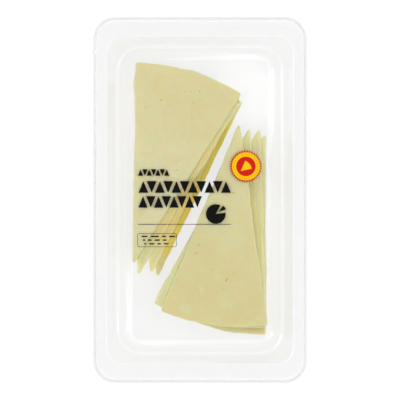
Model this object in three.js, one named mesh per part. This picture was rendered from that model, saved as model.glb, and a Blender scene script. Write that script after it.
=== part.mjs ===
// A sealed pack of sliced cheese: a clear thermoformed tray with a flat flange and a stepped wall, a clear
// lid film lying on the flange, and two fanned stacks of thin wedges laid head to tail, one with its tips
// down and one with its tips up. Millimetres, +Z up, +Y along the tray's length. The origin is on the
// table, under the middle of the tray.
import * as THREE from "three";

// Tray: half sizes in X and Y, corner radii and heights of its upper surface.
const TRAY_HEIGHT = 26;
const WALL = 0.5;
const RIM = { x: 53.3, y: 91.5, corner: 11 };
const LIP = { runX: 1.2, runY: 1.7, drop: 0.9, steps: 3 };
const MOUTH = { x: 46.8, y: 82.2, corner: 8, round: 0.9, turns: [15, 45, 90] };
const LEDGE = { x: 41.9, y: 77.6, corner: 12.5, z: 12.2, run: 1.5, drop: 0.3 };
const LEDGE_BLEND = { run: 0.5, rise: 1.1 };
const FLOOR = { x: 33.6, y: 70, corner: 4.5 };
const TOE = { run: 3.4, turn: 17, steps: 3 };
const FILLET = { radius: 1.3, turn: 74, steps: 4 };
const CORNER_STEPS = 8;

// Lid film: set back from the rim, lying just over the flange.
const FILM = { setBack: 0.9, gap: 0.05, thick: 0.2 };

// Wedge slices: level cuts of one eleventh of a round cheese, 20 cm across.
const SLICE_THICK = 5.8;
const SLICE_GAP = 0.1;
const EDGE_ROUND = 0.35;
const TIP_ROUND = 0.6;
const RIM_CORNER_ROUND = 1;
const SIDE_STEPS = 24;
const RIM_STEPS = 22;
const ROUND_STEPS = 3;
const WAVE = { side: 0.19, rim: 0.2, cycles: [3.1, 5.3, 8.9], phases: [1.7, 4, 6.3] };
const RIM_SEED = 5;

// Each stack from the floor up: where the tip's two edges would meet, the bearings of both edges in degrees
// from the stack's own long direction (positive clockwise), and the radius.
const STACKS = [
  {
    name: "left_slice_",
    turn: 0,
    slices: [
      { tip: [-21.6, -39.4], edges: [-6.9, 25.8], radius: 98.5 },
      { tip: [-24.7, -37.6], edges: [-5.1, 26.9], radius: 98.8 },
      { tip: [-31.2, -38.4], edges: [-0.9, 30.5], radius: 100.6 },
      { tip: [-33.7, -32.7], edges: [0.9, 32.3], radius: 101.4 },
    ],
  },
  {
    name: "right_slice_",
    turn: 180,
    slices: [
      { tip: [33, 33.5], edges: [0, 33.6], radius: 101.2 },
      { tip: [30.2, 36.4], edges: [-1.9, 31.6], radius: 99.3 },
      { tip: [24.9, 36.5], edges: [-4.8, 28.5], radius: 100.6 },
      { tip: [19.7, 38.9], edges: [-7.9, 22], radius: 102.2 },
    ],
  },
];

const clearPlastic = () =>
  new THREE.MeshStandardMaterial({
    color: 0xf2f4f4,
    roughness: 0.12,
    metalness: 0,
    transparent: true,
    opacity: 0.3,
  });
const paste = () =>
  new THREE.MeshStandardMaterial({ color: 0xdcd3a0, roughness: 0.55, metalness: 0 });

const radians = THREE.MathUtils.degToRad;

// The outline of a rectangle with round corners, anticlockwise, the same number of points whatever its
// size.
function roundedRing({ x, y, corner, z }) {
  const centres = [
    [x - corner, y - corner],
    [corner - x, y - corner],
    [corner - x, corner - y],
    [x - corner, corner - y],
  ];
  return centres.flatMap(([cx, cy], quarter) =>
    Array.from({ length: CORNER_STEPS + 1 }, (_, step) => {
      const angle = ((quarter + step / CORNER_STEPS) * Math.PI) / 2;
      return new THREE.Vector3(cx + corner * Math.cos(angle), cy + corner * Math.sin(angle), z);
    }),
  );
}

// A closed skin over a row of rings that all have as many points, both end rings filled from their middles.
// The rings run from the bottom outwards and back in over the top.
function skinOver(rings) {
  const points = rings.flat();
  const count = rings[0].length;
  const faces = [];
  const pairAt = (row, i) => [row * count + i, row * count + ((i + 1) % count)];
  const fill = (row, turned) => {
    const middle = points.push(new THREE.Vector3(0, 0, rings[row][0].z)) - 1;
    for (let i = 0; i < count; i++) {
      const [here, next] = pairAt(row, i);
      faces.push(middle, ...(turned ? [next, here] : [here, next]));
    }
  };
  for (let row = 0; row + 1 < rings.length; row++) {
    for (let i = 0; i < count; i++) {
      const [here, next] = pairAt(row, i);
      faces.push(here, next, here + count, next, next + count, here + count);
    }
  }
  fill(0, true);
  fill(rings.length - 1, false);
  const geometry = new THREE.BufferGeometry().setFromPoints(points);
  geometry.setIndex(faces);
  geometry.computeVertexNormals();
  return geometry;
}

// A ring moved out by a run and up by a rise.
const moved = (ring, run, rise) => ({
  x: ring.x + run,
  y: ring.y + run,
  corner: ring.corner + run,
  z: ring.z + rise,
});

// Rings round a bend that starts from a ring at one slope and ends at another, both in degrees.
function bend(start, radius, from, to, steps) {
  const first = radians(from);
  return Array.from({ length: steps }, (_, step) => {
    const angle = first + radians(to - from) * ((step + 1) / steps);
    const run = radius * (Math.sin(angle) - Math.sin(first));
    return moved(start, run, radius * (Math.cos(first) - Math.cos(angle)));
  });
}

// The tray's upper surface from the middle of the floor out to the rim: toe, fillet, lower wall, ledge, upper
// wall, round shoulder, flat flange and the lip that turns down round its edge.
function trayProfile() {
  const floor = { ...FLOOR, z: WALL };
  const toe = bend(floor, TOE.run / Math.sin(radians(TOE.turn)), 0, TOE.turn, TOE.steps);
  const fillet = bend(toe.at(-1), FILLET.radius, TOE.turn, FILLET.turn, FILLET.steps);
  const ledgeInside = moved(LEDGE, -LEDGE.run, -LEDGE.drop);
  const shoulder = MOUTH.turns.map(radians).map((angle) => ({
    x: MOUTH.x - MOUTH.round * Math.cos(angle),
    y: MOUTH.y - MOUTH.round * Math.cos(angle),
    corner: MOUTH.corner,
    z: TRAY_HEIGHT - MOUTH.round * (1 - Math.sin(angle)),
  }));
  const lip = Array.from({ length: LIP.steps + 1 }, (_, step) => {
    const angle = (step / LIP.steps) * (Math.PI / 2);
    return {
      x: RIM.x - LIP.runX * (1 - Math.sin(angle)),
      y: RIM.y - LIP.runY * (1 - Math.sin(angle)),
      corner: RIM.corner - LIP.runX * (1 - Math.sin(angle)),
      z: TRAY_HEIGHT - LIP.drop * (1 - Math.cos(angle)),
    };
  });
  return [
    floor,
    ...toe,
    ...fillet,
    moved(ledgeInside, -LEDGE_BLEND.run, -LEDGE_BLEND.rise),
    ledgeInside,
    LEDGE,
    moved(LEDGE, LEDGE_BLEND.run, LEDGE_BLEND.rise),
    ...shoulder,
    ...lip,
  ];
}

// The matching ring on the tray's underside, one wall thickness away from the upper surface.
function undersideOf(profile, index) {
  const here = profile[index];
  const before = profile[Math.max(index - 1, 0)];
  const after = profile[Math.min(index + 1, profile.length - 1)];
  const run = after.x - before.x;
  const rise = after.z - before.z;
  const length = Math.hypot(run, rise);
  const out = (WALL * rise) / length;
  return {
    x: here.x + out,
    y: here.y + out,
    corner: here.corner + out,
    z: index === 0 ? 0 : Math.max(here.z - (WALL * run) / length, 0),
  };
}

function trayGeometry() {
  const upper = trayProfile();
  const lower = upper.map((_, index) => undersideOf(upper, index));
  return skinOver([...lower, ...upper.reverse()].map(roundedRing));
}

function filmGeometry() {
  const outline = {
    x: RIM.x - FILM.setBack,
    y: RIM.y - FILM.setBack,
    corner: RIM.corner - FILM.setBack,
  };
  const bottom = TRAY_HEIGHT + FILM.gap;
  return skinOver([bottom, bottom + FILM.thick].map((z) => roundedRing({ ...outline, z })));
}

// A slow uneven wave along an edge, different for each seed and still at both ends.
function wave(along, seed) {
  const swing = WAVE.cycles.reduce(
    (sum, cycles, i) => sum + Math.sin(Math.PI * cycles * along + seed * WAVE.phases[i]) / (1 + i),
    0,
  );
  return swing * Math.sin(Math.PI * along);
}

// Points of an arc of the given radius round a centre, from one bearing to another.
function arc(cx, cy, radius, from, to) {
  return Array.from({ length: ROUND_STEPS + 1 }, (_, step) => {
    const angle = from + ((to - from) * step) / ROUND_STEPS;
    return new THREE.Vector2(cx + radius * Math.sin(angle), cy + radius * Math.cos(angle));
  });
}

// The outline of one slice about its tip, with its long direction along +Y and bearings clockwise from
// there: up the left edge, along the outer rim, down the right edge and round the tip.
function sliceOutline({ edges, radius }, seed) {
  const [left, right] = edges.map(radians);
  const half = (right - left) / 2;
  const middle = (right + left) / 2;
  const tipReach = TIP_ROUND / Math.tan(half);
  const rimReach = radius - RIM_CORNER_ROUND;
  const rimTurn = Math.asin(RIM_CORNER_ROUND / rimReach);
  const sideReach = rimReach * Math.cos(rimTurn);
  const side = (bearing, sign) =>
    Array.from({ length: SIDE_STEPS - 1 }, (_, step) => {
      const along = (step + 1) / SIDE_STEPS;
      const reach = tipReach + (sideReach - tipReach) * along;
      const push = sign * WAVE.side * wave(along, seed + sign);
      return new THREE.Vector2(
        reach * Math.sin(bearing) + push * Math.cos(bearing),
        reach * Math.cos(bearing) - push * Math.sin(bearing),
      );
    });
  const rimArc = Array.from({ length: RIM_STEPS - 1 }, (_, step) => {
    const along = (step + 1) / RIM_STEPS;
    const bearing = left + rimTurn + (right - left - 2 * rimTurn) * along;
    const reach = radius + WAVE.rim * wave(along, seed + RIM_SEED);
    return new THREE.Vector2(reach * Math.sin(bearing), reach * Math.cos(bearing));
  });
  const cornerAt = (bearing) => [rimReach * Math.sin(bearing), rimReach * Math.cos(bearing)];
  const quarter = Math.PI / 2;
  const tipAway = TIP_ROUND / Math.sin(half);
  const tipCentre = [tipAway * Math.sin(middle), tipAway * Math.cos(middle)];
  return [
    ...side(left, -1),
    ...arc(...cornerAt(left + rimTurn), RIM_CORNER_ROUND, left - quarter, left + rimTurn),
    ...rimArc,
    ...arc(...cornerAt(right - rimTurn), RIM_CORNER_ROUND, right - rimTurn, right + quarter),
    ...side(right, 1).reverse(),
    ...arc(...tipCentre, TIP_ROUND, right + quarter, left + 3 * quarter),
  ];
}

function sliceGeometry(slice, seed) {
  const shape = new THREE.Shape(sliceOutline(slice, seed));
  const geometry = new THREE.ExtrudeGeometry(shape, {
    depth: SLICE_THICK - 2 * EDGE_ROUND,
    bevelEnabled: true,
    bevelThickness: EDGE_ROUND,
    bevelSize: EDGE_ROUND,
    bevelOffset: -EDGE_ROUND,
    bevelSegments: 1,
  });
  return geometry.translate(0, 0, EDGE_ROUND);
}

function namedMesh(name, geometry, material) {
  const mesh = new THREE.Mesh(geometry, material);
  mesh.name = name;
  return mesh;
}

// One fan of slices, piled from the floor up; a stack turned half round has its tips at the other end.
function fanOf({ name, turn, slices }, stackIndex) {
  const fan = new THREE.Group();
  slices.forEach((slice, index) => {
    const seed = 1 + index + slices.length * stackIndex;
    const mesh = namedMesh(name + (index + 1), sliceGeometry(slice, seed), paste());
    mesh.position.set(...slice.tip, WALL + SLICE_GAP + index * (SLICE_THICK + SLICE_GAP));
    mesh.rotation.z = radians(turn);
    fan.add(mesh);
  });
  return fan;
}

const pack = new THREE.Group();
pack.add(namedMesh("tray", trayGeometry(), clearPlastic()));
pack.add(namedMesh("lid_film", filmGeometry(), clearPlastic()));
pack.add(...STACKS.map(fanOf));

export default pack;
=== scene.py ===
"""A sealed shop pack of sliced cheese, seen from straight above.

A clear formed tray holds two fans of thin wedges, head to tail, under a clear printed lid film. Lengths are
in millimetres and become metres where a mesh is made. +Y runs along the tray and +Z is up.
"""
import logging
import math
from collections.abc import Sequence
from dataclasses import dataclass, field
from enum import Enum

import bpy
import numpy as np
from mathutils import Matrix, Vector, noise
from mathutils.geometry import delaunay_2d_cdt


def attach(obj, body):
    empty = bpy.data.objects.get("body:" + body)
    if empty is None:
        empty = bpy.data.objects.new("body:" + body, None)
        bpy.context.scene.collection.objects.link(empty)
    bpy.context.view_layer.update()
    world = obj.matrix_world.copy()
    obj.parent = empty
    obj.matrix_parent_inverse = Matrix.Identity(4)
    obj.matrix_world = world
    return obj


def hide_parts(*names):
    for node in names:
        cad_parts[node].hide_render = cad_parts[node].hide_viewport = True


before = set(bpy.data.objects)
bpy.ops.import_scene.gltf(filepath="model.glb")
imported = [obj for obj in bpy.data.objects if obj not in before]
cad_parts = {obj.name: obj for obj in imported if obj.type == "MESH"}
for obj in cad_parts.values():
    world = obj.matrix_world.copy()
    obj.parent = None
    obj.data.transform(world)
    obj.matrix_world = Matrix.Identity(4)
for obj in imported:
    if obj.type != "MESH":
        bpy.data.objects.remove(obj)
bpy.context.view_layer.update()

LOG = logging.getLogger("cheese_pack")
BODY = "root"
MM = 0.001

Point = tuple[float, float]
Colour = tuple[float, float, float]
Ring = tuple[float, float, float, float]


class Slot(Enum):
    """The material slots that the record names."""

    TRAY = "clear_tray"
    FILM = "clear_film"
    PASTE = "cheese_paste"
    DARK_INK = "dark_ink"
    YELLOW_INK = "yellow_ink"
    RED_INK = "red_ink"


def linear(colour: Colour) -> tuple[float, float, float, float]:
    """Turns a colour as seen on a screen, 0 to 255, into the light that it stands for.

    Args:
        colour: red, green and blue from 0 to 255.

    Returns:
        Red, green, blue and alpha from 0 to 1, in linear light.
    """
    shares = [c / 255 for c in colour]
    light = [s / 12.92 if s <= 0.04045 else ((s + 0.055) / 1.055) ** 2.4 for s in shares]
    return (*light, 1.0)


class Wire:
    """A node's output; sums and products of wires and numbers add Math nodes."""

    def __init__(self, sheet: "NodeSheet", socket: bpy.types.NodeSocket) -> None:
        """Keeps the node sheet and the output socket that the wire starts from."""
        self.sheet = sheet
        self.socket = socket

    def _math(self, operation: str, left: "Wire | float", right: "Wire | float") -> "Wire":
        """Adds one Math node on two values."""
        return self.sheet.add("ShaderNodeMath", {"operation": operation}, {0: left, 1: right})

    def __add__(self, other: "Wire | float") -> "Wire":
        """This value plus another."""
        return self._math("ADD", self, other)

    def __radd__(self, other: float) -> "Wire":
        """A number plus this value."""
        return self._math("ADD", other, self)

    def __sub__(self, other: "Wire | float") -> "Wire":
        """This value minus another."""
        return self._math("SUBTRACT", self, other)

    def __rsub__(self, other: float) -> "Wire":
        """A number minus this value."""
        return self._math("SUBTRACT", other, self)

    def __mul__(self, other: "Wire | float") -> "Wire":
        """This value times another."""
        return self._math("MULTIPLY", self, other)

    def __rmul__(self, other: float) -> "Wire":
        """A number times this value."""
        return self._math("MULTIPLY", other, self)

    def __truediv__(self, other: "Wire | float") -> "Wire":
        """This value divided by another."""
        return self._math("DIVIDE", self, other)

    def __pow__(self, power: float) -> "Wire":
        """This value to a power."""
        return self._math("POWER", self, power)

    def least(self, other: "Wire | float") -> "Wire":
        """The smaller of this value and another."""
        return self._math("MINIMUM", self, other)

    def ramp(self, start: float, end: float, low: "Wire | float" = 0.0, high: float = 1.0) -> "Wire":
        """Goes smoothly from one value to another while this value crosses a range.

        Args:
            start: where the result is still low.
            end: where the result is high; it may lie below start.
            low: the result before start.
            high: the result past end.

        Returns:
            The eased value.
        """
        settings = {"interpolation_type": "SMOOTHSTEP"}
        if start <= end:
            stops = {0: self, 1: start, 2: end, 3: low, 4: high}
        else:
            stops = {0: self, 1: end, 2: start, 3: high, 4: low}
        return self.sheet.add("ShaderNodeMapRange", settings, stops)


Sockets = dict[str | int, Wire | float | Sequence[float]]


class NodeSheet:
    """The nodes of one material or world."""

    def __init__(self, owner: bpy.types.Material | bpy.types.World) -> None:
        """Empties the owner's node tree, ready for new nodes.

        Args:
            owner: the material or world.
        """
        owner.use_nodes = True
        self.owner = owner
        self.tree = owner.node_tree
        self.tree.nodes.clear()

    def add(
        self,
        kind: str,
        settings: dict[str, object] | None = None,
        inputs: Sockets | None = None,
        output: str | int = 0,
    ) -> Wire:
        """Adds a node of any kind.

        Args:
            kind: Blender's name of the node's type.
            settings: attributes, set before the sockets.
            inputs: a number, a tuple or a wire for each socket, by its name or place.
            output: the socket to go on from.

        Returns:
            A wire from that output.
        """
        node = self.tree.nodes.new(kind)
        for name, value in (settings or {}).items():
            setattr(node, name, value)
        for key, value in (inputs or {}).items():
            if isinstance(value, Wire):
                self.tree.links.new(value.socket, node.inputs[key])
            else:
                node.inputs[key].default_value = value
        return Wire(self, node.outputs[output])

    def vector(self, operation: str, inputs: Sockets, output: str | int = 0) -> Wire:
        """Adds one Vector Math node."""
        return self.add("ShaderNodeVectorMath", {"operation": operation}, inputs, output)

    def finish(self, surface: Wire) -> None:
        """Wires the last shader to the output.

        Args:
            surface: the shader.
        """
        of_world = isinstance(self.owner, bpy.types.World)
        node = self.tree.nodes.new("ShaderNodeOutputWorld" if of_world else "ShaderNodeOutputMaterial")
        self.tree.links.new(surface.socket, node.inputs["Surface"])

    def place(self) -> Wire:
        """The point on the piece, in millimetres from the origin."""
        point = self.add("ShaderNodeTexCoord", output="Object")
        return self.vector("SCALE", {0: point, "Scale": 1 / MM})

    def noise(self, place: Wire, size: float, detail: float, rough: float = 0.5) -> Wire:
        """Soft blotches of about one size.

        Args:
            place: the point, in millimetres.
            size: how far apart the blotches lie, in millimetres.
            detail: how many finer layers are added.
            rough: how strong the finer layers are.

        Returns:
            A value from 0 to 1, mostly near 0.5.
        """
        inputs = {"Vector": place, "Scale": 1 / size, "Detail": detail, "Roughness": rough}
        return self.add("ShaderNodeTexNoise", inputs=inputs)

    def box_distance(self, place: Wire, half_x: float, half_y: float, corner: float) -> Wire:
        """How far a point lies outside an upright box with round corners.

        Args:
            place: the point, in millimetres.
            half_x: half the box's width.
            half_y: half its length.
            corner: the corners' radius.

        Returns:
            The distance in millimetres, below zero just inside the box.
        """
        flat = self.vector("MULTIPLY", {0: place, 1: (1, 1, 0)})
        folded = self.vector("ABSOLUTE", {0: flat})
        past = self.vector("SUBTRACT", {0: folded, 1: (half_x - corner, half_y - corner, 0)})
        past = self.vector("MAXIMUM", {0: past, 1: (0, 0, 0)})
        return self.vector("LENGTH", {0: past}, "Value") - corner

    def wedge_depths(self, flat: Wire, tip: Point, ways: tuple[Point, Point]) -> list[Wire]:
        """How far a point lies inside a wedge's left and right sides.

        Args:
            flat: the point, seen from above, in millimetres.
            tip: the wedge's tip.
            ways: the directions from its left and its right side inwards.

        Returns:
            The two distances, below zero outside.
        """
        from_tip = self.vector("SUBTRACT", {0: flat, 1: (*tip, 0)})
        return [self.vector("DOT_PRODUCT", {0: from_tip, 1: (*way, 0)}, "Value") for way in ways]

    def mix_colour(self, share: Wire | float, first: Wire | Colour, second: Wire | Colour) -> Wire:
        """Blends two colours.

        Args:
            share: 0 for the first and 1 for the second.
            first: a wire, or a screen colour from 0 to 255.
            second: a wire, or a screen colour from 0 to 255.

        Returns:
            The blended colour.
        """
        ends = [c if isinstance(c, Wire) else linear(c) for c in (first, second)]
        return self.add("ShaderNodeMix", {"data_type": "RGBA"}, {0: share, 6: ends[0], 7: ends[1]}, 2)


@dataclass(frozen=True)
class Strip:
    """The band of a lower slice that shows along one side, and where past the tip it sets in. Its colour is
    painted light: golden and lighter than the paste, for the glow through the thin cheese and against the
    shade in the stack.
    """

    colour: Colour
    width: float
    start: Point


@dataclass(frozen=True)
class PasteFinish:
    """Pale hard cheese, cut smooth: warmer towards the rim, greener at its edges and yellower in its eyes.
    Its side walls, the bands of the lower slices that show and the places under the slice above carry painted
    light: they are painted lighter and more golden, for the glow of light through the cheese and against the
    shade between stacked slices.

    The cover is the tip and the inward directions of the slice that lies on this one.
    """

    name: str
    tip: Point
    inward: tuple[Point, Point]
    cover: tuple[Point, tuple[Point, Point]] | None
    radius: float
    top: float
    pale: Colour
    warm: Colour
    edge: Colour
    edge_reach: float
    strip: Strip | None
    strip_side: int
    far_side_painted_light: Colour
    ruddy: Colour = (211, 198, 148)
    fresh: Colour = (208, 206, 155)
    # wall: painted glow, a lighter golden tone on the side walls standing in for light coming through the
    # cheese
    wall: Colour = (224, 209, 134)
    eye: Colour = (214, 202, 98)
    warm_range: Point = (40.0, 92.0)
    strip_fade: Point = (96.0, 76.0)
    cover_painted_lift: float = 0.26
    roughness: float = 0.5

    def material(self) -> bpy.types.Material:
        """Makes the cheese's material.

        Returns:
            The material.
        """
        sheet = NodeSheet(bpy.data.materials.new(self.name))
        place = sheet.place()
        flat = sheet.vector("MULTIPLY", {0: place, 1: (1, 1, 0)})
        along = sheet.vector("DISTANCE", {0: flat, 1: (*self.tip, 0)}, "Value")
        left, right = sheet.wedge_depths(flat, self.tip, self.inward)
        rim = self.radius - along
        height = sheet.add("ShaderNodeSeparateXYZ", inputs={0: place}, output="Z")
        depth = self.top - height

        blotch = sheet.noise(place, 14, 1.5)
        patch = sheet.noise(place, 7, 2)
        grain = sheet.noise(place, 2.4, 3, 0.6)
        warmth = along.ramp(*self.warm_range) * 0.8 + blotch.ramp(0.3, 0.7) * 0.5 - 0.15
        colour = sheet.mix_colour(warmth, self.pale, self.warm)
        colour = sheet.mix_colour(patch.ramp(0.5, 0.68) * 0.5, colour, self.ruddy)
        colour = sheet.mix_colour(patch.ramp(0.48, 0.3) * 0.6, colour, self.fresh)
        nearest = left.least(right).least(rim)
        colour = sheet.mix_colour(nearest.ramp(self.edge_reach, 0) * 0.7, colour, self.edge)
        # Painted light: the band of a lower slice beside the slice above is painted golden and lighter,
        # against the shade in the stack
        if self.strip:
            near, far = (left, right) if self.strip_side == 0 else (right, left)
            shown = near.ramp(self.strip.width + 3, self.strip.width) * along.ramp(*self.strip.start)
            # Painted light: the far side, next to the slice above, is painted lighter to take away the
            # contact shade there
            colour = sheet.mix_colour(far.ramp(14, 9), colour, self.far_side_painted_light)
            colour = sheet.mix_colour(shown * along.ramp(*self.strip_fade), colour, self.strip.colour)
        # Painted glow: below the cut face the side walls are painted a lighter golden tone, standing in for
        # light through the cheese
        colour = sheet.mix_colour(depth.ramp(0.4, 2.0) * 0.8, colour, self.wall)
        colour = sheet.mix_colour(depth.ramp(0.14, 0.4) * nearest.ramp(0.6, 1.4), colour, self.eye)
        speck = sheet.add("ShaderNodeTexVoronoi", inputs={"Vector": place, "Scale": 0.42}, output="Distance")
        colour = sheet.mix_colour(speck.ramp(0.16, 0.06) * grain.ramp(0.5, 0.62) * 0.55, colour, self.eye)
        # Random tone from the grain; then painted light, up to a quarter lighter, near the edge of the slice
        # above, taking away the contact shade there
        light = (grain - 0.5) * 0.1 + 1
        if self.cover:
            sides = sheet.wedge_depths(flat, *self.cover)
            inside = sides[0].least(sides[1])
            light = light + inside.ramp(-3.5, 0) * inside.ramp(1.5, 0.5) * self.cover_painted_lift
        colour = sheet.vector("SCALE", {0: colour, "Scale": light})
        colour = sheet.vector("MINIMUM", {0: colour, 1: (0.95, 0.95, 0.95)})

        fine = sheet.noise(place, 0.5, 3, 0.65)
        relief = grain * 0.6 + fine * 0.35
        bump = {"Strength": 0.3, "Distance": 0.12 * MM, "Height": relief}
        normal = sheet.add("ShaderNodeBump", inputs=bump, output="Normal")
        inputs = {
            "Base Color": colour,
            "Roughness": self.roughness + (fine - 0.5) * 0.3,
            "IOR": 1.42,
            "Subsurface Weight": 1.0,
            "Subsurface Radius": (1.0, 0.7, 0.3),
            "Subsurface Scale": 5 * MM,
            "Normal": normal,
        }
        sheet.finish(sheet.add("ShaderNodeBsdfPrincipled", inputs=inputs))
        return sheet.owner


@dataclass(frozen=True)
class ClearFinish:
    """Clear plastic: it lets most light through, scatters a little and shines more the flatter it is seen.
    Where a rim is given, its turned lip takes more haze in a grey tone, painted shade for the dark line that
    refraction draws there, and shines less.
    """

    name: str
    haze: float
    edge_haze: float
    square_gloss: float
    roughness: float
    body: Colour = (232, 234, 234)
    clear: Colour = (254, 254, 254)
    grazing_gloss: float = 0.33
    thin_below: float = 0.0
    thin_share: float = 0.3
    thin_blend: float = 2.0
    # The rim's grey tone is painted shade for the dark line that refraction draws along the turned lip
    rim: tuple[float, float, float] | None = None
    rim_painted_shade: Colour = (176, 178, 180)
    rim_shade_haze: float = 0.15
    rim_band: Point = (-1.8, -1.1)
    dull_band: Point = (-2.4, -1.7)
    dulling: float = 0.9

    def material(self) -> bpy.types.Material:
        """Makes the plastic's material.

        Returns:
            The material.
        """
        sheet = NodeSheet(bpy.data.materials.new(self.name))
        facing = sheet.add("ShaderNodeLayerWeight", inputs={"Blend": 0.5}, output="Facing")
        gloss = facing**5.0 * self.grazing_gloss + self.square_gloss
        place = sheet.place()
        cloud = sheet.noise(place, 9, 2)
        edge_haze = facing**3.0 * self.edge_haze
        if self.thin_below:
            height = sheet.add("ShaderNodeSeparateXYZ", inputs={0: place}, output="Z")
            low, high = self.thin_below - self.thin_blend, self.thin_below + self.thin_blend
            edge_haze = edge_haze * height.ramp(low, high, self.thin_share, 1.0)
        haze = edge_haze + self.haze * (cloud * 0.5 + 0.75)
        tone = linear(self.body)
        # Painted shade: on the turned lip the haze grows and takes a darker grey tone; its shine is damped
        # too
        if self.rim:
            inside_rim = sheet.box_distance(place, *self.rim)
            turned = inside_rim.ramp(*self.rim_band)
            haze = haze + turned * self.rim_shade_haze
            gloss = gloss * (1 - inside_rim.ramp(*self.dull_band) * self.dulling)
            tone = sheet.mix_colour(turned, self.body, self.rim_painted_shade)
        share = gloss + haze * (1 - gloss)
        inputs = {
            "Base Color": tone,
            "Metallic": gloss / share,
            "Roughness": self.roughness + (cloud - 0.5) * 0.03,
        }
        solid = sheet.add("ShaderNodeBsdfPrincipled", inputs=inputs)
        through = sheet.add("ShaderNodeBsdfTransparent", inputs={"Color": linear(self.clear)})
        sheet.finish(sheet.add("ShaderNodeMixShader", inputs={0: share, 1: through, 2: solid}))
        return sheet.owner


@dataclass(frozen=True)
class InkFinish:
    """Printing ink on film: one colour, a touch uneven, with a dull shine."""

    name: str
    colour: Colour
    thin: Colour
    roughness: float = 0.45

    def material(self) -> bpy.types.Material:
        """Makes the ink's material.

        Returns:
            The material.
        """
        sheet = NodeSheet(bpy.data.materials.new(self.name))
        place = sheet.place()
        body = sheet.noise(place, 1.8, 3, 0.6)
        dots = sheet.noise(place, 0.25, 1)
        colour = sheet.mix_colour(body.ramp(0.35, 0.75) * 0.5, self.colour, self.thin)
        inputs = {
            "Base Color": colour,
            "Roughness": self.roughness + (dots - 0.5) * 0.25,
            "Specular IOR Level": 0.04,
        }
        sheet.finish(sheet.add("ShaderNodeBsdfPrincipled", inputs=inputs))
        return sheet.owner


@dataclass
class Solid:
    """A closed mesh in the making, in millimetres."""

    points: list[np.ndarray] = field(default_factory=list)
    faces: list[tuple[int, ...]] = field(default_factory=list)
    count: int = 0

    def add_points(self, points: np.ndarray) -> int:
        """Adds points.

        Args:
            points: the points.

        Returns:
            The number of the first of them.
        """
        self.points.append(points)
        first = self.count
        self.count += len(points)
        return first

    def add_rings(self, rings: Sequence[np.ndarray]) -> list[int]:
        """Adds closed rings of as many points each and the walls between them.

        Args:
            rings: rings of points, anticlockwise seen from above, in the order that has the walls' outer
                side on the ring's right hand.

        Returns:
            The number of each ring's first point.
        """
        firsts = [self.add_points(ring) for ring in rings]
        size = len(rings[0])
        for low, high in zip(firsts, firsts[1:]):
            for i in range(size):
                j = (i + 1) % size
                self.faces.append((low + i, low + j, high + j, high + i))
        return firsts

    def add_cap(self, ring: np.ndarray, first: int, inner: np.ndarray, down: bool) -> None:
        """Closes a ring with a triangulated face.

        Args:
            ring: the ring's points.
            first: the number of the ring's first point.
            inner: points inside the ring, which the triangles use too.
            down: True where the face looks down.
        """
        start = self.add_points(inner) if len(inner) else self.count
        flat = [Vector((float(x), float(y))) for x, y in [*ring[:, :2], *inner[:, :2]]]
        numbers = [*range(first, first + len(ring)), *range(start, start + len(inner))]
        _, _, faces, origins, _, _ = delaunay_2d_cdt(flat, [], [list(range(len(ring)))], 1, 1e-7)
        kept = [numbers[origin[0]] for origin in origins]
        for face in faces:
            corners = [kept[i] for i in face]
            self.faces.append(tuple(reversed(corners)) if down else tuple(corners))

    def to_object(self, name: str, finish: bpy.types.Material, smooth: bool = True) -> bpy.types.Object:
        """Makes the Blender object.

        Args:
            name: the object's name.
            finish: its material.
            smooth: whether its faces are shaded as one bent surface.

        Returns:
            The linked object.
        """
        mesh = bpy.data.meshes.new(name)
        mesh.from_pydata((np.concatenate(self.points) * MM).tolist(), [], self.faces)
        mesh.polygons.foreach_set("use_smooth", [smooth] * len(mesh.polygons))
        mesh.materials.append(finish)
        mesh.update()
        piece = bpy.data.objects.new(name, mesh)
        bpy.context.scene.collection.objects.link(piece)
        return piece


def register(piece: bpy.types.Object, slot: Slot, *nodes: str) -> None:
    """Hands a finished piece to the frame.

    Args:
        piece: the piece, in place.
        slot: the record's material slot meant for the piece; not used.
        nodes: the solids that the piece stands for, if any.
    """
    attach(piece, BODY)
    if nodes:
        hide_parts(*nodes)
    stands_for = ", ".join(nodes) or "no node"
    LOG.info("%s: %d faces, stands for %s", piece.name, len(piece.data.polygons), stands_for)


def spaced(loop: np.ndarray, step: float) -> np.ndarray:
    """Spreads points evenly along a closed line.

    Args:
        loop: the line's points, in order, the last not repeated.
        step: the distance wanted.

    Returns:
        The new points.
    """
    closed = np.vstack([loop, loop[:1]])
    lengths = np.hypot(*np.diff(closed, axis=0).T)
    travelled = np.concatenate([[0], np.cumsum(lengths)])
    marks = np.linspace(0, travelled[-1], max(round(travelled[-1] / step), 8), endpoint=False)
    return np.stack([np.interp(marks, travelled, closed[:, i]) for i in (0, 1)], axis=1)


def outward(loop: np.ndarray) -> np.ndarray:
    """The unit normals of an anticlockwise closed line, pointing out.

    Args:
        loop: the line's points.

    Returns:
        A normal for each point.
    """
    run = np.roll(loop, -1, axis=0) - np.roll(loop, 1, axis=0)
    run /= np.linalg.norm(run, axis=1, keepdims=True)
    return np.stack([run[:, 1], -run[:, 0]], axis=1)


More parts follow.
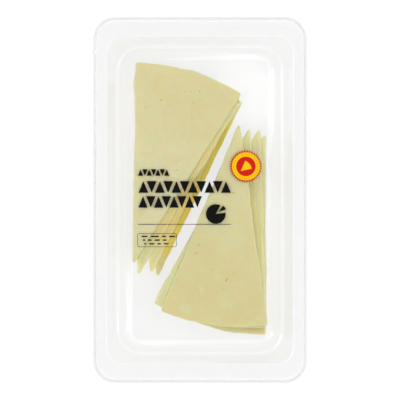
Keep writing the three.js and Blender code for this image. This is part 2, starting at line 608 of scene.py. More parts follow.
def lattice(loop: np.ndarray, step: float, margin: float) -> np.ndarray:
    """Points in a triangular lattice inside a closed line.

    Args:
        loop: the line's points.
        step: the lattice's spacing.
        margin: how far the points stay from the line's points.

    Returns:
        The points inside.
    """
    low, high = loop.min(axis=0), loop.max(axis=0)
    rows = np.arange(low[1], high[1], step * math.sqrt(0.75))
    across = np.arange(low[0], high[0], step)
    grid = [np.stack([across + step / 2 * (i % 2), np.full_like(across, y)], 1) for i, y in enumerate(rows)]
    points = np.concatenate(grid)
    inside = np.zeros(len(points), bool)
    after = np.roll(loop, -1, axis=0)
    for (x0, y0), (x1, y1) in zip(loop, after):
        crosses = (y0 > points[:, 1]) != (y1 > points[:, 1])
        if crosses.any():
            reach = x0 + (points[:, 1] - y0) / (y1 - y0 + 1e-12) * (x1 - x0)
            inside ^= crosses & (points[:, 0] < reach)
    points = points[inside]
    near = np.zeros(len(points), bool)
    for corner in loop:
        near |= ((points - corner) ** 2).sum(axis=1) < margin**2
    return points[~near]


def rounded_box(
    half_x: float, half_y: float, corner: float, steps: int, centre: Point = (0, 0)
) -> np.ndarray:
    """The outline of a rectangle with round corners, anticlockwise.

    Args:
        half_x: half its width.
        half_y: half its length.
        corner: the corners' radius.
        steps: the steps round each corner.
        centre: its middle.

    Returns:
        As many points for any size.
    """
    ways = ((1, 1), (-1, 1), (-1, -1), (1, -1))
    points = []
    for quarter, (way_x, way_y) in enumerate(ways):
        for step in range(steps + 1):
            angle = (quarter + step / steps) * math.pi / 2
            x = centre[0] + way_x * (half_x - corner) + corner * math.cos(angle)
            y = centre[1] + way_y * (half_y - corner) + corner * math.sin(angle)
            points.append((x, y))
    return np.array(points)


@dataclass(frozen=True)
class Eye:
    """A small hollow in the cut face of the cheese; x and y are measured from the pack's middle."""

    x: float
    y: float
    long: float
    wide: float
    turn: float
    depth: float

    def rings(self) -> np.ndarray:
        """Points for the mesh to follow the hollow's shape.

        Returns:
            The middle and four rings round it.
        """
        turn = math.radians(self.turn)
        points = [(self.x, self.y)]
        for share, count in ((0.4, 6), (0.75, 10), (1.0, 14), (1.3, 16)):
            for step in range(count):
                angle = 2 * math.pi * (step + share) / count
                u, v = self.long * share * math.cos(angle), self.wide * share * math.sin(angle)
                x = self.x + u * math.cos(turn) - v * math.sin(turn)
                y = self.y + u * math.sin(turn) + v * math.cos(turn)
                points.append((x, y))
        return np.array(points)

    def away(self, points: np.ndarray) -> np.ndarray:
        """How far points lie from the middle.

        Args:
            points: the points, seen from above.

        Returns:
            The distances, where 1 is the hollow's brim.
        """
        turn = math.radians(self.turn)
        dx, dy = points[:, 0] - self.x, points[:, 1] - self.y
        u = (dx * math.cos(turn) + dy * math.sin(turn)) / self.long
        v = (dy * math.cos(turn) - dx * math.sin(turn)) / self.wide
        bearing = np.arctan2(v, u)
        uneven = 1 + 0.14 * np.sin(3 * bearing + self.x) + 0.08 * np.sin(5 * bearing + self.y)
        return np.hypot(u, v) / uneven

    def sink(self, points: np.ndarray) -> np.ndarray:
        """How deep the hollow is at each point."""
        share = np.clip(1 - self.away(points), 0, 1)
        return self.depth * np.sqrt(share * (2 - share))


@dataclass(frozen=True)
class SliceShape:
    """One thin wedge of cheese: its tip, the bearings of its sides and its radius, about its fan's turn."""

    tip: Point
    edges: Point
    radius: float
    seed: int
    level: float
    turn: float
    thick: float = 5.8
    edge_round: float = 0.35
    tip_round: float = 0.6
    corner_round: float = 1.0
    wave_side: float = 0.19
    wave_rim: float = 0.2
    wave_cycles: tuple[float, ...] = (3.1, 5.3, 8.9)
    wave_phases: tuple[float, ...] = (1.7, 4.0, 6.3)
    rim_seed: int = 5

    def wave(self, along: np.ndarray, seed: float) -> np.ndarray:
        """A slow uneven wave along an edge, still at both ends.

        Args:
            along: shares of the edge's length.
            seed: what makes one edge's wave differ from another's.

        Returns:
            The wave's height at each share.
        """
        swing = sum(
            np.sin(math.pi * cycles * along + seed * phase) / (1 + i)
            for i, (cycles, phase) in enumerate(zip(self.wave_cycles, self.wave_phases))
        )
        return swing * np.sin(math.pi * along)

    def to_pack(self, points: np.ndarray) -> np.ndarray:
        """Moves points from about the tip to their place in the pack.

        Args:
            points: points measured from the tip, before the fan's turn.

        Returns:
            The points measured from the pack's middle.
        """
        turn = math.radians(self.turn)
        way = np.array([[math.cos(turn), math.sin(turn)], [-math.sin(turn), math.cos(turn)]])
        return points @ way + np.array(self.tip)

    def inward(self) -> tuple[Point, Point]:
        """Where the slice lies, seen from its sides.

        Returns:
            The directions from the left and the right side into the slice.
        """
        left, right = (math.radians(e) for e in self.edges)
        ways = np.array([[math.cos(left), -math.sin(left)], [-math.cos(right), math.sin(right)]])
        turned = self.to_pack(ways) - np.array(self.tip)
        return tuple(tuple(float(c) for c in way) for way in turned)

    def outline(self) -> np.ndarray:
        """Draws the slice's outline in the pack.

        Returns:
            Its points, close together and anticlockwise.
        """
        left, right = (math.radians(e) for e in self.edges)
        half, middle = (right - left) / 2, (right + left) / 2
        tip_reach = self.tip_round / math.tan(half)
        rim_reach = self.radius - self.corner_round
        rim_turn = math.asin(self.corner_round / rim_reach)
        side_reach = rim_reach * math.cos(rim_turn)

        def at(reach: np.ndarray, bearing: np.ndarray) -> np.ndarray:
            """Points at a distance and a bearing from the tip."""
            return np.stack([reach * np.sin(bearing), reach * np.cos(bearing)], axis=1)

        def side(bearing: float, sign: int) -> np.ndarray:
            """Draws a side from the tip out to the rim, with its wave.

            Args:
                bearing: the side's bearing.
                sign: -1 for the left side and 1 for the right.

            Returns:
                The side's points.
            """
            along = np.linspace(0, 1, 500)
            reach = tip_reach + (side_reach - tip_reach) * along
            push = sign * self.wave_side * self.wave(along, self.seed + sign)
            across = np.stack([push * math.cos(bearing), -push * math.sin(bearing)], axis=1)
            return at(reach, np.full_like(reach, bearing)) + across

        def arc(reach: float, bearing: float, size: float, start: float, end: float) -> np.ndarray:
            """A round corner about a point."""
            centre = at(np.array([reach]), np.array([bearing]))
            return centre + at(np.full(12, size), np.linspace(start, end, 12))

        along = np.linspace(0, 1, 300)
        bearings = left + rim_turn + (right - left - 2 * rim_turn) * along
        rim = at(self.radius + self.wave_rim * self.wave(along, self.seed + self.rim_seed), bearings)
        quarter = math.pi / 2
        tip_centre = self.tip_round / math.sin(half)
        parts = [
            side(left, -1),
            arc(rim_reach, left + rim_turn, self.corner_round, left - quarter, left + rim_turn)[1:-1],
            rim,
            arc(rim_reach, right - rim_turn, self.corner_round, right - rim_turn, right + quarter)[1:-1],
            side(right, 1)[::-1],
            arc(tip_centre, middle, self.tip_round, right + quarter, left + 3 * quarter)[1:-1],
        ]
        return self.to_pack(np.concatenate(parts))[::-1]


@dataclass
class CheeseSlice:
    """A wedge slice as a fine mesh: crumbly edges, a faintly wavy cut face, eyes and tiny pits."""

    name: str
    node: str
    shape: SliceShape
    finish: PasteFinish
    eyes: tuple[Eye, ...]
    step: float
    side_step: float
    scallop: float
    crumb: float = 0.05
    scallop_size: float = 5.5
    crumb_size: float = 1.1
    swell: float = 0.36
    face_wave: float = 0.07
    wave_size: float = 17.0
    drag_size: Point = (2.2, 9.0)
    wall_heights: tuple[float, ...] = (1.2, 2.1, 3.0, 3.9, 4.7)
    under_step: float = 2.5

    def roughness(self, points: np.ndarray, height: float) -> np.ndarray:
        """How far the side wall stands in from the plain outline at one height.

        Args:
            points: the outline's points.
            height: the height above the slice's underside.

        Returns:
            The distance inwards at each point; below zero, the wall swells outwards.
        """
        depths = []
        wide, fine, seed = self.scallop_size, self.crumb_size, self.shape.seed
        for x, y in points:
            broad = noise.noise(Vector((x / wide, y / wide, seed + height / 30)))
            small = noise.noise(Vector((x / fine, y / fine, seed * 3 + height / 1.4)))
            depths.append(self.scallop * (0.5 + broad) + self.crumb * (0.5 + small))
        return np.clip(np.array(depths), 0, None) - self.swell

    def face_depth(self, points: np.ndarray) -> np.ndarray:
        """How far the cut face lies below the slice's full height.

        Args:
            points: the points, seen from above.

        Returns:
            The depth at each point.
        """
        depths = []
        size, (across, along) = self.wave_size, self.drag_size
        for x, y in points:
            slow = noise.noise(Vector((x / size, y / size, self.shape.seed)))
            drag = noise.noise(Vector((x / across, y / along, self.shape.seed + 7)))
            depths.append(self.face_wave * (0.5 + 0.7 * slow + 0.25 * drag))
        depth = np.clip(np.array(depths), 0, None)
        for eye in self.eyes:
            depth = depth + eye.sink(points)
        return depth

    def solid(self) -> Solid:
        """Builds the slice's closed mesh.

        Returns:
            The mesh.
        """
        shape = self.shape
        loop = spaced(shape.outline(), self.side_step)
        normals = outward(loop)
        bend = shape.edge_round
        profile = [(bend, 0.0), (0.3 * bend, 0.3 * bend), (0.0, bend)]
        profile += [(0.0, height) for height in self.wall_heights]
        profile += [(0.0, shape.thick - bend), (0.3 * bend, shape.thick - 0.3 * bend), (bend, shape.thick)]
        rings = []
        for inset, height in profile:
            flat = loop - normals * (inset + self.roughness(loop, height))[:, None]
            rings.append(np.column_stack([flat, np.full(len(flat), shape.level + height)]))
        top = rings[-1]
        top[:, 2] -= self.face_depth(top[:, :2])
        solid = Solid()
        firsts = solid.add_rings(rings)
        inner = lattice(top[:, :2], self.step, self.side_step * 0.75)
        for eye in self.eyes:
            inner = inner[eye.away(inner) > 1.3 + 0.4 * self.step / eye.wide]
        inner = np.concatenate([inner, *(eye.rings() for eye in self.eyes)])
        height = shape.level + shape.thick - self.face_depth(inner)
        solid.add_cap(top, firsts[-1], np.column_stack([inner, height]), down=False)
        under = lattice(rings[0][:, :2], self.under_step, self.side_step)
        under = np.column_stack([under, np.full(len(under), shape.level)])
        solid.add_cap(rings[0], firsts[0], under, down=True)
        return solid

    def build(self) -> None:
        """Makes, dresses and registers the slice."""
        register(self.solid().to_object(self.name, self.finish.material()), Slot.PASTE, self.node)


@dataclass
class SliceFan:
    """A stack of slices, fanned out, from the tray's floor up."""

    side: str
    turn: float
    slices: tuple[tuple[Point, Point, float], ...]
    eyes: tuple[Eye, ...]
    pale: Colour
    warm: Colour
    # The lower slices' tones are painted lighter than the top's, painted light that offsets the shade between
    # stacked slices
    low_pale_painted_lift: Colour
    edge: Colour
    low_edge: Colour
    strips: tuple[Strip, ...]
    strip_side: int
    far_side_painted_light: Colour
    first_seed: int
    pits: int = 34
    floor: float = 0.6
    pitch: float = 5.9

    def tiny_pits(self, shape: SliceShape, rng: np.random.Generator) -> list[Eye]:
        """Strews small pits over a cut face, clear of its eyes.

        Args:
            shape: the slice.
            rng: the seeded generator that places them.

        Returns:
            The pits.
        """
        left, right = (math.radians(e) for e in shape.edges)
        pits = []
        for _ in range(self.pits):
            bearing = left + (right - left) * rng.uniform(0.08, 0.92)
            reach = shape.radius * math.sqrt(rng.uniform(0.06, 0.95))
            spot = shape.to_pack(np.array([[reach * math.sin(bearing), reach * math.cos(bearing)]]))[0]
            size = rng.uniform(0.18, 0.42)
            wide = size * rng.uniform(0.5, 1)
            turn = rng.uniform(0, 180)
            pits.append(Eye(float(spot[0]), float(spot[1]), size, wide, turn, 0.25 * size + 0.06))
        return [p for p in pits if all(math.hypot(p.x - e.x, p.y - e.y) > 2.2 for e in self.eyes)]

    def build(self) -> None:
        """Makes every slice of the fan."""
        rng = np.random.default_rng(self.first_seed)
        shapes = []
        for index, (tip, edges, radius) in enumerate(self.slices):
            level = self.floor + self.pitch * index
            shapes.append(SliceShape(tip, edges, radius, self.first_seed + index, level, self.turn))
        for index, shape in enumerate(shapes):
            on_top = index == len(shapes) - 1
            finish = PasteFinish(
                name=f"paste_{self.side}_{index + 1}",
                tip=shape.tip,
                inward=shape.inward(),
                cover=None if on_top else (shapes[index + 1].tip, shapes[index + 1].inward()),
                radius=shape.radius,
                top=shape.level + shape.thick,
                # Lower slices: lighter painted tones and no ruddy or fresh patches, to offset the shade
                # between stacked slices
                pale=self.pale if on_top else self.low_pale_painted_lift,
                warm=self.warm,
                ruddy=PasteFinish.ruddy if on_top else self.low_pale_painted_lift,
                fresh=PasteFinish.fresh if on_top else self.low_pale_painted_lift,
                edge=self.edge if on_top else self.low_edge,
                edge_reach=1.8 if on_top else 3.0,
                strip=None if on_top else self.strips[index],
                strip_side=self.strip_side,
                far_side_painted_light=self.far_side_painted_light,
            )
            CheeseSlice(
                name=f"{self.side}_wedge_{index + 1}",
                node=f"{self.side}_slice_{index + 1}",
                shape=shape,
                finish=finish,
                eyes=(*self.eyes, *self.tiny_pits(shape, rng)) if on_top else (),
                step=0.55 if on_top else 1.1,
                side_step=0.45 if on_top else 0.6,
                scallop=0.3 if on_top else 0.42,
            ).build()


def grown(ring: Ring, out: float, up: float) -> Ring:
    """A ring of the tray moved outwards and up."""
    half_x, half_y, corner, height = ring
    return (half_x + out, half_y + out, corner + out, height + up)


def between(start: Ring, end: Ring, count: int) -> list[Ring]:
    """Rings at even steps between two others.

    Args:
        start: the ring before them.
        end: the ring after them.
        count: how many to make.

    Returns:
        The rings.
    """
    first, last = np.array(start), np.array(end)
    return [tuple(first + (last - first) * (step / (count + 1))) for step in range(1, count + 1)]


@dataclass
class Tray:
    """The clear formed tray, as a thin shell with the real wall's steps and bends."""

    height: float = 26.0
    wall: float = 0.5
    rim: tuple[float, float, float] = (53.3, 91.5, 11.0)
    lip_runs: tuple[float, float] = (1.2, 1.7)
    lip_drop: float = 0.9
    lip_start: float = 1.6
    lip_steps: int = 6
    mouth: tuple[float, float, float] = (46.8, 82.2, 8.0)
    mouth_round: float = 0.9
    wall_lean: float = 15.0
    seal_start: float = 0.3
    ledge: tuple[float, float, float] = (41.9, 77.6, 12.5)
    ledge_height: float = 12.2
    ledge_run: float = 1.5
    ledge_drop: float = 0.26
    blend: tuple[float, float] = (0.5, 1.1)
    floor: tuple[float, float, float] = (33.6, 70.0, 4.5)
    toe: Point = (3.4, 17.0)
    fillet: Point = (1.3, 74.0)
    warp: tuple[float, float, float, float] = (22.0, 54.0, 18.0, 0.6)
    corner_steps: int = 18

    def profile(self) -> list[Ring]:
        """The upper surface from the floor's edge out to the rim.

        Returns:
            Half width, half length, corner radius and height of each ring.
        """
        (toe_run, toe_turn), (radius, turn) = self.toe, self.fillet
        toe_turn, turn = math.radians(toe_turn), math.radians(turn)
        toe_radius = toe_run / math.sin(toe_turn)
        rings = [(*self.floor, self.wall)]
        for reach, first, last, steps in ((toe_radius, 0.0, toe_turn, 9), (radius, toe_turn, turn, 8)):
            start = rings[-1]
            for angle in np.linspace(first, last, steps)[1:]:
                out = reach * (math.sin(angle) - math.sin(first))
                up = reach * (math.cos(first) - math.cos(angle))
                rings.append(grown(start, out, up))
        ledge = [grown((*self.ledge, 0.0), out, up) for out, up in self.bend_points()]
        rings += [*between(rings[-1], ledge[0], 3), *ledge]
        x, y, corner = self.mouth
        shoulder = []
        for angle in np.linspace(math.radians(self.wall_lean), math.pi / 2, 8):
            side = self.mouth_round * math.cos(angle)
            drop = self.mouth_round * (1 - math.sin(angle))
            shoulder.append((x - side, y - side, corner, self.height - drop))
        rings += [*between(rings[-1], shoulder[0], 4), *shoulder]
        rings.append(grown((*self.mouth, self.height), self.seal_start, 0.0))
        turns = [(self.lip_start, 0.0)]
        for angle in np.linspace(0, math.pi / 2, self.lip_steps + 1):
            turns.append((1 - math.sin(angle), self.lip_drop * (1 - math.cos(angle))))
        x, y, corner = self.rim
        run_x, run_y = self.lip_runs
        for back, drop in turns:
            rings.append((x - run_x * back, y - run_y * back, corner - run_x * back, self.height - drop))
        return rings

    def bend_points(self) -> list[Point]:
        """The ledge's cross-section, with its two bends rounded.

        Returns:
            Distance out from the ledge's edge and height of each point.
        """
        run, rise = self.blend
        corners = [
            (-self.ledge_run - run, self.ledge_height - self.ledge_drop - rise),
            (-self.ledge_run, self.ledge_height - self.ledge_drop),
            (0.0, self.ledge_height),
            (run, self.ledge_height + rise),
        ]
        points = [corners[0]]
        for before, here, after in zip(corners, corners[1:], corners[2:]):
            b, h, a = (np.array(c) for c in (before, here, after))
            first, last = h + (b - h) * 0.45, h + (a - h) * 0.45
            for t in np.linspace(0, 1, 5):
                points.append(tuple(first * (1 - t) ** 2 + h * 2 * t * (1 - t) + last * t**2))
        return [*points, corners[3]]

    def underside(self, rings: list[Ring]) -> list[Ring]:
        """The matching rings one wall's thickness below or outside.

        Args:
            rings: the rings of the upper surface.

        Returns:
            The rings of the lower surface.
        """
        moved = []
        for i, (x, y, corner, z) in enumerate(rings):
            before, after = rings[max(i - 1, 0)], rings[min(i + 1, len(rings) - 1)]
            run, rise = after[0] - before[0], after[3] - before[3]
            length = math.hypot(run, rise)
            out = self.wall * rise / length
            below = 0.0 if i == 0 else max(z - self.wall * run / length, 0.0)
            moved.append((x + out, y + out, corner + out, below))
        return moved

    def floor_points(self, ring: np.ndarray) -> np.ndarray:
        """Points of the floor's upper side, which is raised a little in one place.

        Args:
            ring: the floor's edge.

        Returns:
            Points inside the edge.
        """
        points = lattice(ring[:, :2], 2.4, 1.5)
        x, y, reach, height = self.warp
        share = np.hypot((points[:, 0] - x) / 0.85, points[:, 1] - y) / reach
        rise = height * np.clip(1 - np.sqrt(share**2 + 0.01), 0, None)
        return np.column_stack([points, self.wall + rise])

    def build(self) -> None:
        """Makes, dresses and registers the tray."""
        upper = self.profile()
        lower = self.underside(upper)
        rings = []
        for x, y, corner, z in [*lower, *reversed(upper)]:
            flat = rounded_box(x, y, corner, self.corner_steps)
            rings.append(np.column_stack([flat, np.full(len(flat), z)]))
        solid = Solid()
        firsts = solid.add_rings(rings)
        solid.add_cap(rings[0], firsts[0], np.empty((0, 3)), down=True)
        solid.add_cap(rings[-1], firsts[-1], self.floor_points(rings[-1]), down=False)
        finish = ClearFinish(
            "clear_tray_plastic",
            haze=0.03,
            edge_haze=0.15,
            body=(244, 245, 245),
            square_gloss=0.02,
            grazing_gloss=0.22,
            roughness=0.07,
            thin_below=self.ledge_height,
            rim=self.rim,
        )
        register(solid.to_object("formed_tray", finish.material()), Slot.TRAY, "tray")


@dataclass
class LidFilm:
    """The clear lid film: flat where it is sealed to the flange, a little slack over the mouth."""

    half: Point = (52.4, 90.6)
    corner: float = 10.1
    under: float = 26.05
    thick: float = 0.08
    mouth: Point = (46.0, 81.4)
    sag: float = 0.5
    slack: float = 0.06
    long_fold: tuple[float, float, float] = (26.0, 34.0, 1.5)
    short_fold: tuple[float, float, float] = (9.0, 15.0, 4.5)
    short_share: float = 0.3
    step: float = 2.2

    def lift(self, points: np.ndarray) -> np.ndarray:
        """The height of the film's underside.

        Args:
            points: the points, seen from above.

        Returns:
            The height at each point.
        """
        shares = np.clip(1 - (points / np.array(self.mouth)) ** 2, 0, 1)
        dip = (shares[:, 0] * shares[:, 1]) ** 0.75
        (long_x, long_y, long_seed), (short_x, short_y, short_seed) = self.long_fold, self.short_fold
        folds = []
        for x, y in points:
            long = noise.noise(Vector((x / long_x, y / long_y, long_seed)))
            short = noise.noise(Vector((x / short_x, y / short_y, short_seed)))
            folds.append(long + self.short_share * short)
        edge = np.clip(dip * 6, 0, 1)
        return self.under - self.sag * dip + self.slack * np.array(folds) * edge * dip**0.5

    def build(self) -> None:
        """Makes, dresses and registers the film."""
        loop = spaced(rounded_box(*self.half, self.corner, 24), 1.6)
        inner = lattice(loop, self.step, 1.1)
        heights = self.lift(inner)
        solid = Solid()
        flat = np.full(len(loop), self.under)
        inset = loop - outward(loop) * self.thick
        rings = [
            np.column_stack([line, flat + add])
            for line, add in ((inset, 0), (loop, 0), (loop, self.thick), (inset, self.thick))
        ]
        firsts = solid.add_rings(rings)
        solid.add_cap(rings[0], firsts[0], np.column_stack([inner, heights]), down=True)
        solid.add_cap(rings[3], firsts[3], np.column_stack([inner, heights + self.thick]), down=False)
        finish = ClearFinish(
            "clear_lid_film",
            haze=0.01,
            edge_haze=0.1,
            clear=(252, 252, 252),
            square_gloss=0.014,
            roughness=0.04,
        )
        register(solid.to_object("lid_sheet", finish.material()), Slot.FILM, "lid_film")


@dataclass
class FilmPrint:
    """Plain shapes printed on the film: bands of wedges, a disc, a rule, a box of bars and a round seal."""

    film: LidFilm
    thick: float = 0.012
    gap: float = 0.008
    left: float = -31.4
    bands: tuple[tuple[float, float, float, int], ...] = (
        (15.4, 3.3, 16.4, 7),
        (9.45, 5.85, 47.5, 11),
        (1.95, 5.8, 33.0, 8),
    )
    rule: tuple[float, float, float] = (-12.15, 47.2, 0.3)
    cut_disc: tuple[tuple[Point, float, float, float], ...] = (
        ((7.9, -7.0), 4.9, 62, 370),
        ((9.2, -5.9), 3.9, 16, 56),
    )
    box: Point = (-21.5, -20.1)
    box_half: tuple[float, float, float] = (9.85, 3.4, 1.0)
    box_line: float = 0.22
    rows: tuple[tuple[float, ...], ...] = ((3.4, 4.6, 2.4, 3.6), (1.4, 2.2, 3.0, 2.2), (1.2, 3.2, 2.0, 2.8))
    rows_start: Point = (-29.4, -18.2)
    row_step: Point = (0.7, 1.85)
    row_bar: float = 0.7
    bar_gap: float = 1.1
    seal: Point = (22.95, 16.8)
    seal_radii: tuple[float, float, float] = (8.25, 7.0, 4.9)
    teeth: int = 38
    tooth_depth: float = 1.15
    dot_circle: float = 6.05
    dot_turn: int = 15
    dot: float = 0.45
    seal_wedge: tuple[Point, float, float, float] = ((20.4, 14.5), 5.6, 12, 66)

    def layer(self, level: int) -> float:
        """The height of a layer of ink above the film's underside."""
        return self.film.thick + self.gap + level * (self.thick + self.gap)

    def patch(self, solid: Solid, loop: np.ndarray, level: int = 0, step: float = 2.0) -> None:
        """Adds a flat shape of ink that follows the film.

        Args:
            solid: the mesh to add it to.
            loop: the shape's outline, anticlockwise.
            level: which layer of ink it is.
            step: the spacing of the points inside it.
        """
        inner = lattice(loop, step, step * 0.4)
        base, edge = self.film.lift(inner) + self.layer(level), self.film.lift(loop) + self.layer(level)
        rings = [np.column_stack([loop, edge + add]) for add in (0, self.thick)]
        firsts = solid.add_rings(rings)
        solid.add_cap(rings[0], firsts[0], np.column_stack([inner, base]), down=True)
        solid.add_cap(rings[1], firsts[1], np.column_stack([inner, base + self.thick]), down=False)

    def frame_line(self, solid: Solid, outer: np.ndarray, inner: np.ndarray) -> None:
        """Adds a thin closed line of ink between two loops of as many points.

        Args:
            solid: the mesh to add it to.
            outer: the line's outer side.
            inner: its inner side.
        """
        low, high = self.layer(0), self.layer(0) + self.thick
        rings = []
        for loop, add in ((inner, low), (outer, low), (outer, high), (inner, high)):
            rings.append(np.column_stack([loop, self.film.lift(loop) + add]))
        firsts = solid.add_rings(rings)
        size = len(outer)
        for i in range(size):
            j = (i + 1) % size
            solid.faces.append((firsts[3] + i, firsts[3] + j, firsts[0] + j, firsts[0] + i))

    def wedge_band(self, solid: Solid, top: float, height: float, width: float, count: int) -> None:
        """Adds a row of solid triangles that point up and down in turn.

        Args:
            solid: the mesh to add them to.
            top: the band's upper edge.
            height: its height.
            width: its whole width.
            count: how many triangles it has.
        """
        pitch = width / (count + 0.5)
        for i in range(count):
            middle = self.left + pitch * (i + 0.75)
            base, point = (top - height, top) if i % 2 == 0 else (top, top - height)
            half = pitch * 0.6
            corners = [(middle - half, base), (middle + half, base), (middle, point)]
            loop = np.array(corners if i % 2 == 0 else corners[::-1])
            self.patch(solid, spaced(loop, 0.3), step=1.6)

    def bar(self, solid: Solid, middle: Point, size: Point, corner: float = 0.1, level: int = 0) -> None:
        """Adds a small upright or lying bar."""
        outline = rounded_box(size[0] / 2, size[1] / 2, corner, 3, middle)
        self.patch(solid, outline if max(size) < 1 else spaced(outline, 0.9), level, 1.5)

    def dark_solid(self) -> Solid:
        """Builds all that is printed in the dark ink.

        Returns:
            The mesh.
        """
        solid = Solid()
        for top, height, width, count in self.bands:
            self.wedge_band(solid, top, height, width, count)
        level, length, breadth = self.rule
        self.bar(solid, (self.left + length / 2, level), (length, breadth))
        for part in self.cut_disc:
            self.patch(solid, self.sector(*part))
        half_x, half_y, corner = self.box_half
        outer, inner = (
            rounded_box(half_x - inset, half_y - inset, corner - inset, 6, self.box)
            for inset in (0.0, self.box_line)
        )
        self.frame_line(solid, outer, inner)
        for row, widths in enumerate(self.rows):
            start = self.rows_start[0] + self.row_step[0] * row
            level = self.rows_start[1] - self.row_step[1] * row
            for width in widths:
                self.bar(solid, (start + width / 2, level), (width, self.row_bar), 0.2)
                start += width + self.bar_gap
        return solid

    def sector(self, tip: Point, radius: float, start: float, end: float) -> np.ndarray:
        """The outline of a slice of a disc.

        Args:
            tip: where the slice's two sides meet.
            radius: the disc's radius.
            start: the first side's bearing in degrees, anticlockwise from +X.
            end: the second side's bearing.

        Returns:
            The outline's points.
        """
        angle = np.radians(np.arange(start, end + 1, 6.0))
        rim = np.stack([tip[0] + radius * np.cos(angle), tip[1] + radius * np.sin(angle)], axis=1)
        return spaced(np.vstack([[tip], rim]), 0.4)

    def seal_disc(self, radius: float, lobes: int, depth: float) -> np.ndarray:
        """The outline of a disc of the seal.

        Args:
            radius: the disc's radius.
            lobes: the scallops round its edge, or 0 for a plain one.
            depth: how deep the scallops are.

        Returns:
            The outline's points.
        """
        angle = np.linspace(0, 2 * math.pi, max(lobes * 8, 96), endpoint=False)
        reach = radius - depth * (0.5 - 0.5 * np.cos(lobes * angle))
        x, y = self.seal
        return np.stack([x + reach * np.cos(angle), y + reach * np.sin(angle)], axis=1)

    def print_solid(self, solid: Solid, name: str, ink: InkFinish, slot: Slot) -> None:
        """Dresses and registers one printed mesh."""
        register(solid.to_object(name, ink.material(), smooth=False), slot)

    def build(self) -> None:
        """Makes, dresses and registers the printed shapes."""
        dark = InkFinish("dark_ink", (8, 6, 6), (16, 12, 11))
        deep_red = InkFinish("deep_red_ink", (174, 22, 12), (182, 28, 16))
        yellow = InkFinish("yellow_ink", (238, 178, 8), (242, 187, 12))
        red = InkFinish("red_ink", (186, 25, 16), (192, 34, 22))
        self.print_solid(self.dark_solid(), "printed_shapes", dark, Slot.DARK_INK)

        rim, ring, middle, wedge = Solid(), Solid(), Solid(), Solid()
        rim_radius, ring_radius, middle_radius = self.seal_radii
        self.patch(rim, self.seal_disc(rim_radius, self.teeth, self.tooth_depth), 0)
        self.print_solid(rim, "seal_rim", deep_red, Slot.RED_INK)
        self.patch(ring, self.seal_disc(ring_radius, 0, 0), 1)
        self.print_solid(ring, "seal_field", yellow, Slot.YELLOW_INK)
        self.patch(middle, self.seal_disc(middle_radius, 0, 0), 2)
        for turn in np.radians(np.arange(0, 360, self.dot_turn)):
            x = self.seal[0] + self.dot_circle * math.cos(turn)
            y = self.seal[1] + self.dot_circle * math.sin(turn)
            self.bar(middle, (x, y), (self.dot, self.dot), 0.2, 2)
        self.print_solid(middle, "seal_middle", red, Slot.RED_INK)
        self.patch(wedge, self.sector(*self.seal_wedge), 3, 1.2)
        self.print_solid(wedge, "seal_wedge", yellow, Slot.YELLOW_INK)


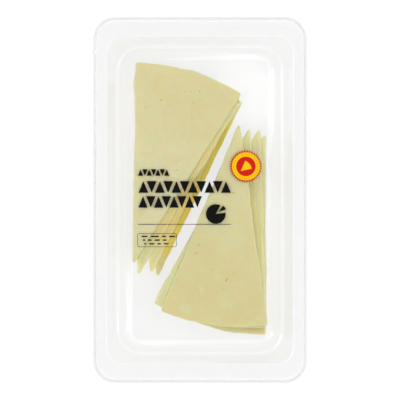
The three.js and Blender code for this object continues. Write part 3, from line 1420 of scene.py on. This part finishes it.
@dataclass
class Studio:
    """A white table, soft light from all round and a camera that looks straight down."""

    camera_height: float = 3.0
    frame_width: float = 0.2
    frame_plane: float = 0.026
    sensor: float = 36.0
    table_size: float = 6.0
    table_drop: float = 0.0004
    bright_spot: tuple[float, float, float] = (26.0, 51.0, 0.0)
    side_lamps: tuple[tuple[str, tuple[float, float, float], Point, float], ...] = (
        ("right_lamp", (0.75, -0.35, 1.2), (0.5, 0.5), 4.5),
        ("left_lamp", (-0.75, 0.3, 1.2), (0.5, 0.5), 5.0),
    )
    gleams: tuple[tuple[str, tuple[float, float, float], Point], ...] = (
        ("gleam_left", (0.47, -0.0845, 1.2), (0.64, 0.023)),
        ("gleam_right", (-0.47, 0.0775, 1.2), (0.64, 0.037)),
        ("gleam_near", (-0.035, 0.49, 1.2), (0.0125, 0.6)),
        ("gleam_far", (0.0305, -0.49, 1.2), (0.0135, 0.6)),
    )
    gleam_watts: float = 16.0

    def table(self) -> None:
        """Lays the white table under the pack, lit a little more in one spot under the tray's floor."""
        mesh = bpy.data.meshes.new("table_top")
        half, low = self.table_size, -self.table_drop
        corners = [(-half, -half, low), (half, -half, low), (half, half, low), (-half, half, low)]
        mesh.from_pydata(corners, [], [(0, 1, 2, 3)])
        sheet = NodeSheet(bpy.data.materials.new("white_table"))
        gap = sheet.vector("DISTANCE", {0: sheet.place(), 1: self.bright_spot}, "Value")
        inputs = {
            "Base Color": (0.15, 0.15, 0.15, 1),
            "Roughness": 0.8,
            "Specular IOR Level": 0.1,
            "Emission Color": sheet.mix_colour(gap.ramp(20, 9), (249, 249, 249), (255, 255, 255)),
            "Emission Strength": 0.908,
        }
        sheet.finish(sheet.add("ShaderNodeBsdfPrincipled", inputs=inputs))
        mesh.materials.append(sheet.owner)
        table = bpy.data.objects.new("table_top", mesh)
        bpy.context.scene.collection.objects.link(table)

    def world(self) -> None:
        """Soft light from all round, dimmer straight above, where the camera is."""
        world = bpy.data.worlds.new("studio")
        bpy.context.scene.world = world
        sheet = NodeSheet(world)
        way = sheet.add("ShaderNodeTexCoord", output="Generated")
        up = sheet.add("ShaderNodeSeparateXYZ", inputs={0: way}, output="Z")
        along = sheet.add("ShaderNodeSeparateXYZ", inputs={0: way}, output="Y")
        low = along**2.0 * 0.8 + 0.06
        strength = up.ramp(0.75, 0.95, low, 2.4) * up.ramp(0.9992, 0.9981, 0.05, 1.0)
        background = {"Color": (1, 1, 1, 1), "Strength": strength}
        sheet.finish(sheet.add("ShaderNodeBackground", inputs=background))

    def lamp(self, name: str, place: Sequence[float], size: Point, watts: float, level: bool = False) -> None:
        """Hangs a soft rectangular lamp.

        Args:
            name: the lamp's name.
            place: where its middle is, in metres.
            size: its width and height.
            watts: its power.
            level: True for a lamp that hangs level; any other faces the pack.
        """
        data = bpy.data.lights.new(name, "AREA")
        data.shape = "RECTANGLE"
        data.size, data.size_y = size
        data.energy = watts
        lamp = bpy.data.objects.new(name, data)
        lamp.location = place
        if not level:
            lamp.rotation_euler = (-Vector(place)).to_track_quat("-Z", "Y").to_euler()
        lamp.visible_camera = False
        bpy.context.scene.collection.objects.link(lamp)

    def camera(self) -> None:
        """Sets up the camera over the pack's middle."""
        data = bpy.data.cameras.new("camera")
        data.sensor_width = self.sensor
        data.lens = self.sensor * (self.camera_height - self.frame_plane) / self.frame_width
        data.clip_end = 20
        camera = bpy.data.objects.new("camera", data)
        camera.location = (0, 0, self.camera_height)
        bpy.context.scene.collection.objects.link(camera)
        bpy.context.scene.camera = camera

    def build(self) -> None:
        """Makes the whole studio."""
        bpy.context.scene.view_settings.view_transform = "Standard"
        bpy.context.scene.cycles.transparent_max_bounces = 24
        self.camera()
        self.table()
        self.world()
        for name, place, size, watts in self.side_lamps:
            self.lamp(name, place, size, watts)
        for name, place, size in self.gleams:
            self.lamp(name, place, size, self.gleam_watts * size[0] * size[1], level=True)


LEFT_FAN = SliceFan(
    side="left",
    turn=0,
    slices=(
        ((-21.6, -39.4), (-6.9, 25.8), 98.5),
        ((-24.7, -37.6), (-5.1, 26.9), 98.8),
        ((-31.2, -38.4), (-0.9, 30.5), 100.6),
        ((-33.7, -32.7), (0.9, 32.3), 101.4),
    ),
    eyes=(
        Eye(-19.2, 50.1, 0.85, 0.6, 10, 0.5),
        Eye(-27.2, 46.5, 0.7, 0.4, 5, 0.3),
        Eye(-7.6, 54.2, 0.5, 0.4, 0, 0.35),
        Eye(-4.7, 54.3, 0.45, 0.35, 60, 0.3),
        Eye(-0.5, 54.1, 0.5, 0.4, 20, 0.35),
        Eye(-3.5, 48.7, 0.75, 0.4, 0, 0.35),
        Eye(-4.3, 41.2, 0.4, 0.8, 0, 0.3),
        Eye(2.3, 32.5, 0.9, 0.35, 10, 0.25),
        Eye(-11.6, 15.1, 0.8, 0.4, 10, 0.35),
    ),
    pale=(212, 207, 165),
    warm=(210, 200, 149),
    low_pale_painted_lift=(208, 211, 166),
    edge=(198, 199, 152),
    low_edge=(208, 213, 172),
    strips=(
        Strip((234, 214, 98), 9.0, (7.0, 16.0)),
        Strip((226, 206, 136), 7.0, (10.0, 28.0)),
        Strip((222, 207, 146), 4.0, (12.0, 30.0)),
    ),
    strip_side=1,
    far_side_painted_light=(212, 210, 160),
    first_seed=1,
)

RIGHT_FAN = SliceFan(
    side="right",
    turn=180,
    slices=(
        ((33, 33.5), (0, 33.6), 101.2),
        ((30.2, 36.4), (-1.9, 31.6), 99.3),
        ((24.9, 36.5), (-4.8, 28.5), 100.6),
        ((19.7, 38.9), (-7.9, 22.5), 102.2),
    ),
    eyes=(
        Eye(16.8, 3.6, 0.8, 0.55, 20, 0.45),
        Eye(-0.6, -22.3, 0.8, 0.5, 0, 0.3),
        Eye(-1.9, -26.9, 0.85, 0.5, 20, 0.5),
        Eye(16.4, -37.2, 0.6, 0.8, 0, 0.45),
        Eye(13.1, -39.9, 0.95, 0.35, 55, 0.8),
        Eye(5.5, -34.9, 0.55, 0.4, 0, 0.25),
    ),
    pale=(208, 203, 154),
    warm=(207, 197, 141),
    low_pale_painted_lift=(206, 208, 172),
    edge=(197, 198, 148),
    low_edge=(212, 212, 162),
    strips=(
        Strip((206, 205, 158), 9.0, (6.0, 20.0)),
        Strip((211, 207, 162), 9.0, (6.0, 20.0)),
        Strip((199, 192, 136), 9.0, (6.0, 20.0)),
    ),
    strip_side=0,
    far_side_painted_light=(211, 211, 166),
    first_seed=5,
)


def main() -> None:
    """Builds the studio and every piece of the pack, in order."""
    logging.basicConfig(level=logging.INFO, format="%(name)s %(message)s")
    Studio().build()
    Tray().build()
    LEFT_FAN.build()
    RIGHT_FAN.build()
    film = LidFilm()
    film.build()
    FilmPrint(film).build()


if __name__ == "__main__":
    main()
